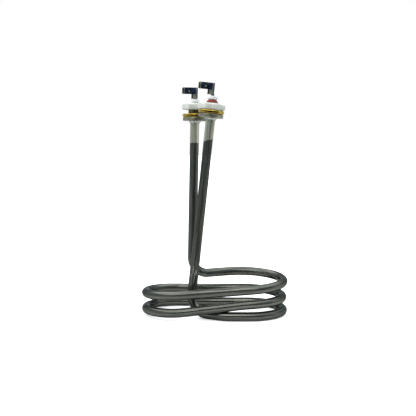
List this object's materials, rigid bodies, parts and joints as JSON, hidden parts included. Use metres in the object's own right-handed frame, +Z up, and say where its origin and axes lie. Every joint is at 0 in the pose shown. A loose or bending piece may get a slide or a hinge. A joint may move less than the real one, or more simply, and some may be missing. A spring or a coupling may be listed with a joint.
{
  "type": "screw-in tubular heating element",
  "caption": "Sheathed tubular heating element bent into a flat oval coil, with two upright legs that end in threaded bushes with nuts, ceramic bushes and flag terminals",
  "frame": {"origin": "centre of the overall footprint, on the surface that the coil's lowest turn rests on", "axes": "+Z up along the legs, X along the length of the oval coil with the legs' lean towards +X, -Y towards the leg that rises from the lowest turn"},
  "size_m": [0.1384, 0.0742, 0.2174],
  "materials": {
    "sheath_steel": "dark oxidised, semi-gloss, bright satin at both ends",
    "bush_steel": "satin, greyed",
    "braze_metal": "satin",
    "washer_brass": "bright turned",
    "nut_nylon": "milky, slightly translucent",
    "seal_silicone": "matte",
    "bush_ceramic": "satin glaze",
    "pin_steel": "satin",
    "terminal_steel": "bright rolled, reflecting dark surroundings"
  },
  "bodies": {
    "element": {"heating_tube": "sheath_steel", "rear_threaded_bush": "bush_steel", "rear_braze_ring": "braze_metal", "rear_brass_washer": "washer_brass", "rear_end_seal": "seal_silicone", "rear_ceramic_bush": "bush_ceramic", "rear_terminal_pin": "pin_steel", "rear_flag_terminal": "terminal_steel", "front_threaded_bush": "bush_steel", "front_braze_ring": "braze_metal", "front_brass_washer": "washer_brass", "front_end_seal": "seal_silicone", "front_ceramic_bush": "bush_ceramic", "front_terminal_pin": "pin_steel", "front_flag_terminal": "terminal_steel"},
    "rear_nut": {"rear_nylon_nut": "nut_nylon"},
    "front_nut": {"front_nylon_nut": "nut_nylon"}
  },
  "joints": [
    {"name": "rear_nut_travel", "type": "slide", "parent": "element", "child": "rear_nut", "axis": [0.0209, 0, 0.9998], "range_m": [-0.0035, 0.0014]},
    {"name": "front_nut_travel", "type": "slide", "parent": "element", "child": "front_nut", "axis": [0.1063, 0, 0.9943], "range_m": [0, 0.005]}
  ]
}
